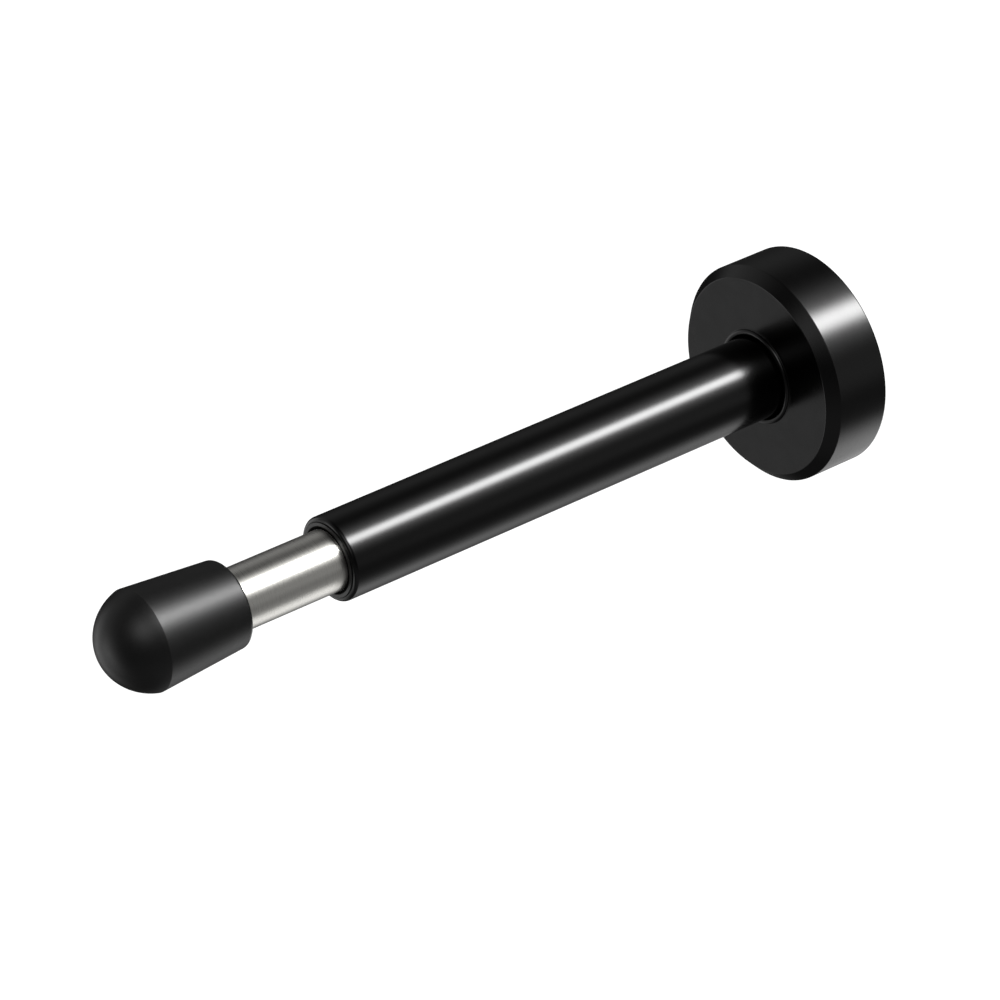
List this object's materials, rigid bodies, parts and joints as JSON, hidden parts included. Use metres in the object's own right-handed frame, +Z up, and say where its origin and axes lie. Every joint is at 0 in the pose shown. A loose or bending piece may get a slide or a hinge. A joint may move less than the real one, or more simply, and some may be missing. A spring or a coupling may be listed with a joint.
{
  "type": "door security bar",
  "caption": "Wall-mounted door security bar: round black flange, gloss black tube and a spring-buffered steel rod with a domed rubber nose.",
  "frame": {"origin": "centre of the flange's back face, on the wall", "axes": "+Y along the bar's axis into the wall, so the bar points along -Y; +Z up; the cover's grub screw is at -Z"},
  "size_m": [0.059, 0.2225, 0.059],
  "materials": {
    "gloss_black": "gloss black coating on turned aluminium and drawn tube",
    "satin_black": "satin black coating on steel",
    "black_oxide": "black oxide on hardened steel",
    "zinc": "bright zinc plated turned steel",
    "spring_steel": "drawn spring wire",
    "dark_nylon": "dark grey moulded nylon",
    "felt": "pressed wool felt",
    "bearing_polymer": "bronze filled bearing polymer",
    "acetal": "natural machined acetal",
    "brushed_rod": "stainless steel, fine brushing round the rod",
    "rubber": "matte black moulded rubber"
  },
  "bodies": {
    "flange_and_tube": {"rose_cover": "gloss_black", "mounting_plate": "satin_black", "rose_grub_screw": "black_oxide", "socket_grub_screw_1": "zinc", "socket_grub_screw_2": "zinc", "socket_grub_screw_3": "zinc", "outer_tube": "gloss_black", "base_plug": "zinc", "return_spring": "spring_steel", "front_bush": "dark_nylon", "wiper_ring": "felt"},
    "spring_follower": {"spring_cup": "zinc", "thrust_washer": "bearing_polymer"},
    "plunger": {"piston": "acetal", "piston_wear_ring": "bearing_polymer", "piston_screw": "zinc", "plunger_rod": "brushed_rod", "rod_circlip": "black_oxide", "stop_washer": "zinc", "rebound_ring": "rubber", "nose_stud": "zinc", "nose_core": "zinc", "rubber_nose": "rubber"}
  },
  "joints": [
    {"name": "plunger_slide", "type": "slide", "parent": "flange_and_tube", "child": "spring_follower", "axis": [0, 1, 0], "range_m": [0, 0.0295], "stiffness_N_per_m": 1200, "springref_m": -0.015, "deforming": ["return_spring"]},
    {"name": "plunger_turn", "type": "hinge", "parent": "spring_follower", "child": "plunger", "pos_m": [0, 0, 0], "axis": [0, 1, 0], "continuous": true}
  ]
}
